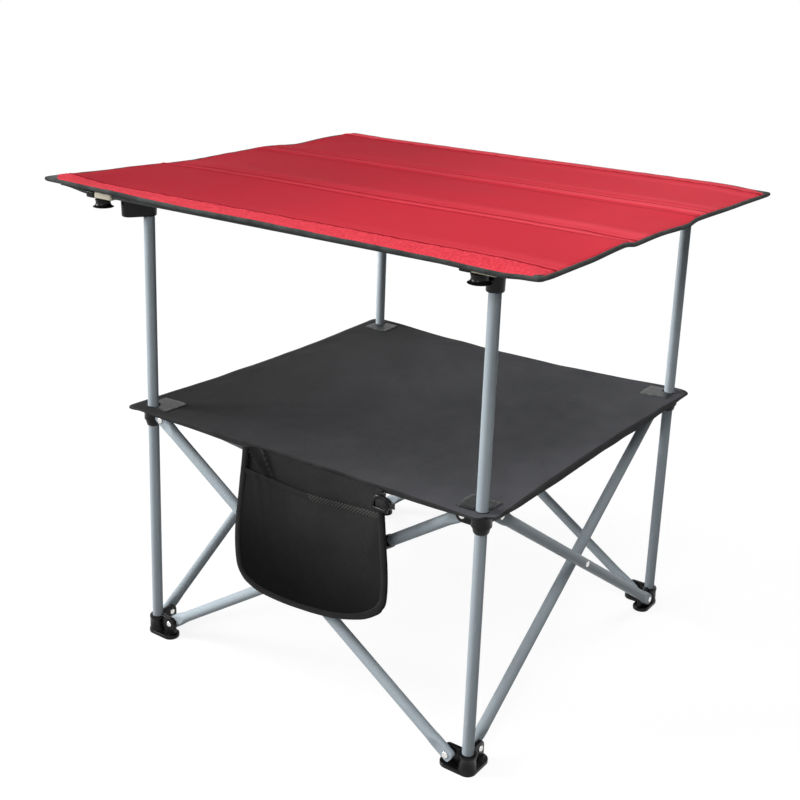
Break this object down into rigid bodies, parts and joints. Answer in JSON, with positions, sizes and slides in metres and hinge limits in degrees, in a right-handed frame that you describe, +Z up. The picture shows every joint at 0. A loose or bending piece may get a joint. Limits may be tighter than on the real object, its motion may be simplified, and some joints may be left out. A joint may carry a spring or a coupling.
{
  "type": "fabric folding table",
  "caption": "Folding camp table: scissor-braced tube frame, cloth shelf with a hanging pocket, and a cloth-covered top that lifts off and folds.",
  "frame": {"origin": "on the ground under the middle of the table top", "axes": "+X along the top's longer side, +Y away from the edge where the pocket hangs, +Z up"},
  "size_m": [0.8, 0.725, 0.7035],
  "materials": {
    "frame_tube": "satin",
    "black_plastic": "matte",
    "rivet": "satin",
    "shelf_cloth": "woven",
    "corner_patch": "satin",
    "pocket_cloth": "woven",
    "top_cloth": "woven satin",
    "hem_rod": "satin"
  },
  "bodies": {
    "left_leg": {"post_left": "frame_tube", "foot_left": "black_plastic", "head_left": "black_plastic", "rivet_foot_left_outer": "rivet", "rivet_foot_left_inner": "rivet"},
    "front_leg": {"post_front": "frame_tube", "foot_front": "black_plastic", "head_front": "black_plastic", "rivet_foot_front_outer": "rivet", "rivet_foot_front_inner": "rivet"},
    "right_leg": {"post_right": "frame_tube", "foot_right": "black_plastic", "head_right": "black_plastic", "rivet_foot_right_outer": "rivet", "rivet_foot_right_inner": "rivet"},
    "back_leg": {"post_back": "frame_tube", "foot_back": "black_plastic", "head_back": "black_plastic", "rivet_foot_back_outer": "rivet", "rivet_foot_back_inner": "rivet"},
    "left_slider": {"hub_left": "black_plastic", "rivet_hub_left_outer": "rivet", "rivet_hub_left_inner": "rivet", "shelf_cloth": "shelf_cloth", "pocket": "pocket_cloth"},
    "front_slider": {"hub_front": "black_plastic", "rivet_hub_front_outer": "rivet", "rivet_hub_front_inner": "rivet"},
    "right_slider": {"hub_right": "black_plastic", "rivet_hub_right_outer": "rivet", "rivet_hub_right_inner": "rivet"},
    "back_slider": {"hub_back": "black_plastic", "rivet_hub_back_outer": "rivet", "rivet_hub_back_inner": "rivet"},
    "inner_near_left": {"inner_brace_near_left": "frame_tube"},
    "outer_near_left": {"outer_brace_near_left": "frame_tube", "rivet_crossing_near_left": "rivet"},
    "inner_near_right": {"inner_brace_near_right": "frame_tube"},
    "outer_near_right": {"outer_brace_near_right": "frame_tube", "rivet_crossing_near_right": "rivet"},
    "inner_far_right": {"inner_brace_far_right": "frame_tube"},
    "outer_far_right": {"outer_brace_far_right": "frame_tube", "rivet_crossing_far_right": "rivet"},
    "inner_far_left": {"inner_brace_far_left": "frame_tube"},
    "outer_far_left": {"outer_brace_far_left": "frame_tube", "rivet_crossing_far_left": "rivet"},
    "shelf_corner_left": {"shelf_patch_left": "corner_patch"},
    "shelf_corner_front": {"shelf_patch_front": "corner_patch"},
    "shelf_corner_right": {"shelf_patch_right": "corner_patch"},
    "shelf_corner_back": {"shelf_patch_back": "corner_patch"},
    "top_middle": {"top_panel_middle": "top_cloth"},
    "top_near": {"top_panel_near": "top_cloth", "hem_rod_near": "hem_rod"},
    "top_far": {"top_panel_far": "top_cloth", "hem_rod_far": "hem_rod"},
    "knob_left": {"knob_left": "black_plastic"},
    "knob_front": {"knob_front": "black_plastic"},
    "knob_right": {"knob_right": "black_plastic"},
    "knob_back": {"knob_back": "black_plastic"}
  },
  "joints": [
    {"name": "fold", "type": "hinge", "parent": "left_leg", "child": "inner_near_left", "pos_m": [-0.243, -0.285, 0.021], "axis": [0, -1, 0], "range_deg": [0, 50], "deforming": ["shelf_cloth", "pocket"]},
    {"name": "crossing_near_left", "type": "hinge", "parent": "inner_near_left", "child": "outer_near_left", "pos_m": [0.015, -0.285, 0.191], "axis": [0, -1, 0], "range_deg": [-100, 0]},
    {"name": "foot_front", "type": "hinge", "parent": "outer_near_left", "child": "front_leg", "pos_m": [0.273, -0.285, 0.021], "axis": [0, -1, 0], "range_deg": [0, 50]},
    {"name": "hub_front", "type": "hinge", "parent": "inner_near_left", "child": "front_slider", "pos_m": [0.273, -0.285, 0.361], "axis": [0, -1, 0], "range_deg": [-50, 0]},
    {"name": "hub_left", "type": "hinge", "parent": "outer_near_left", "child": "left_slider", "pos_m": [-0.243, -0.285, 0.361], "axis": [0, -1, 0], "range_deg": [0, 50]},
    {"name": "foot_front_right_side", "type": "hinge", "parent": "front_leg", "child": "inner_near_right", "pos_m": [0.3, -0.258, 0.021], "axis": [1, 0, 0], "range_deg": [0, 50]},
    {"name": "crossing_near_right", "type": "hinge", "parent": "inner_near_right", "child": "outer_near_right", "pos_m": [0.3, 0, 0.191], "axis": [1, 0, 0], "range_deg": [-100, 0]},
    {"name": "foot_right", "type": "hinge", "parent": "outer_near_right", "child": "right_leg", "pos_m": [0.3, 0.258, 0.021], "axis": [1, 0, 0], "range_deg": [0, 50]},
    {"name": "hub_right", "type": "hinge", "parent": "inner_near_right", "child": "right_slider", "pos_m": [0.3, 0.258, 0.361], "axis": [1, 0, 0], "range_deg": [-50, 0]},
    {"name": "foot_left_far_side", "type": "hinge", "parent": "left_leg", "child": "outer_far_left", "pos_m": [-0.27, -0.258, 0.021], "axis": [-1, 0, 0], "range_deg": [-50, 0]},
    {"name": "crossing_far_left", "type": "hinge", "parent": "outer_far_left", "child": "inner_far_left", "pos_m": [-0.27, 0, 0.191], "axis": [-1, 0, 0], "range_deg": [0, 100]},
    {"name": "foot_back", "type": "hinge", "parent": "inner_far_left", "child": "back_leg", "pos_m": [-0.27, 0.258, 0.021], "axis": [-1, 0, 0], "range_deg": [-50, 0]},
    {"name": "hub_back", "type": "hinge", "parent": "outer_far_left", "child": "back_slider", "pos_m": [-0.27, 0.258, 0.361], "axis": [-1, 0, 0], "range_deg": [0, 50]},
    {"name": "foot_back_right_side", "type": "hinge", "parent": "back_leg", "child": "outer_far_right", "pos_m": [-0.243, 0.285, 0.021], "axis": [0, 1, 0], "range_deg": [-50, 0]},
    {"name": "crossing_far_right", "type": "hinge", "parent": "outer_far_right", "child": "inner_far_right", "pos_m": [0.015, 0.285, 0.191], "axis": [0, 1, 0], "range_deg": [0, 100]},
    {"name": "shelf_fold_left", "type": "hinge", "parent": "left_slider", "child": "shelf_corner_left", "pos_m": [-0.24879, -0.26379, 0.3738], "axis": [-0.7071, 0.7071, 0], "range_deg": [0, 80], "deforming": ["shelf_patch_left"]},
    {"name": "shelf_fold_front", "type": "hinge", "parent": "front_slider", "child": "shelf_corner_front", "pos_m": [0.27879, -0.26379, 0.3738], "axis": [-0.7071, -0.7071, 0], "range_deg": [0, 80], "deforming": ["shelf_patch_front"]},
    {"name": "shelf_fold_right", "type": "hinge", "parent": "right_slider", "child": "shelf_corner_right", "pos_m": [0.27879, 0.26379, 0.3738], "axis": [0.7071, -0.7071, 0], "range_deg": [0, 80], "deforming": ["shelf_patch_right"]},
    {"name": "shelf_fold_back", "type": "hinge", "parent": "back_slider", "child": "shelf_corner_back", "pos_m": [-0.24879, 0.26379, 0.3738], "axis": [0.7071, 0.7071, 0], "range_deg": [0, 80], "deforming": ["shelf_patch_back"]},
    {"name": "top_lift", "type": "slide", "parent": "left_leg", "child": "top_middle", "axis": [0, 0, 1], "range_m": [0, 0.08]},
    {"name": "top_fold_near", "type": "hinge", "parent": "top_middle", "child": "top_near", "pos_m": [0, -0.117, 0.7035], "axis": [-1, 0, 0], "range_deg": [0, 170]},
    {"name": "top_fold_far", "type": "hinge", "parent": "top_middle", "child": "top_far", "pos_m": [0, 0.117, 0.7035], "axis": [1, 0, 0], "range_deg": [0, 75]},
    {"name": "knob_left_turn", "type": "hinge", "parent": "top_near", "child": "knob_left", "pos_m": [-0.308, -0.335, 0.6862], "axis": [0, 0, -1], "range_deg": [0, 90]},
    {"name": "knob_front_turn", "type": "hinge", "parent": "top_near", "child": "knob_front", "pos_m": [0.308, -0.335, 0.6862], "axis": [0, 0, -1], "range_deg": [0, 90]},
    {"name": "knob_right_turn", "type": "hinge", "parent": "top_far", "child": "knob_right", "pos_m": [0.308, 0.335, 0.6862], "axis": [0, 0, -1], "range_deg": [0, 90]},
    {"name": "knob_back_turn", "type": "hinge", "parent": "top_far", "child": "knob_back", "pos_m": [-0.308, 0.335, 0.6862], "axis": [0, 0, -1], "range_deg": [0, 90]}
  ],
  "couplings": [
    {"joint": "crossing_near_left", "follows": "fold", "ratio": -2},
    {"joint": "foot_front", "follows": "fold", "ratio": 1},
    {"joint": "hub_front", "follows": "fold", "ratio": -1},
    {"joint": "hub_left", "follows": "fold", "ratio": 1},
    {"joint": "foot_front_right_side", "follows": "fold", "ratio": 1},
    {"joint": "crossing_near_right", "follows": "fold", "ratio": -2},
    {"joint": "foot_right", "follows": "fold", "ratio": 1},
    {"joint": "hub_right", "follows": "fold", "ratio": -1},
    {"joint": "foot_left_far_side", "follows": "fold", "ratio": -1},
    {"joint": "crossing_far_left", "follows": "fold", "ratio": 2},
    {"joint": "foot_back", "follows": "fold", "ratio": -1},
    {"joint": "hub_back", "follows": "fold", "ratio": 1},
    {"joint": "foot_back_right_side", "follows": "fold", "ratio": -1},
    {"joint": "crossing_far_right", "follows": "fold", "ratio": 2},
    {"joint": "shelf_fold_left", "follows": "fold", "ratio": 1.6},
    {"joint": "shelf_fold_front", "follows": "fold", "ratio": 1.6},
    {"joint": "shelf_fold_right", "follows": "fold", "ratio": 1.6},
    {"joint": "shelf_fold_back", "follows": "fold", "ratio": 1.6}
  ]
}
